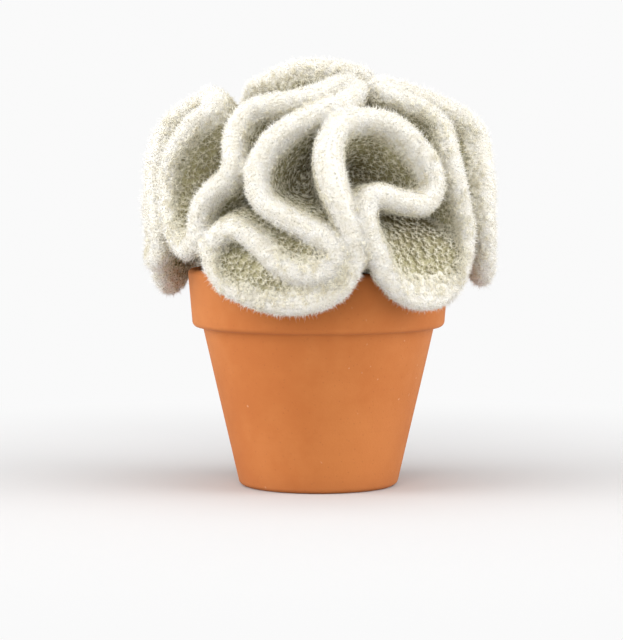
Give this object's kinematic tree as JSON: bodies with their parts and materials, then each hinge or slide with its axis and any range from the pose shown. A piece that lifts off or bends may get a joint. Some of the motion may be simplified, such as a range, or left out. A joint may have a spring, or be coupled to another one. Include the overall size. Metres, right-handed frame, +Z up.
{
  "type": "potted crested cactus",
  "caption": "Crested lady finger cactus: one white, densely spined crest folded into a mound of deep ruffles over the rim of a plain tapered clay flowerpot.",
  "frame": {"origin": "the middle of the pot's foot, on the surface it stands on", "axes": "+Z up along the pot's axis; the front of the plant, as pictured, faces -Y; +X is the viewer's right"},
  "size_m": [0.1684, 0.1641, 0.1992],
  "materials": {
    "terracotta": "unglazed, matte, fired orange clay",
    "soil": "loose dark gritty potting mix",
    "cactus": "grey-green flesh under dense short cream-white spines"
  },
  "bodies": {
    "root": {"clay_pot": "terracotta", "potting_soil": "soil", "crested_cactus": "cactus"}
  },
  "joints": []
}
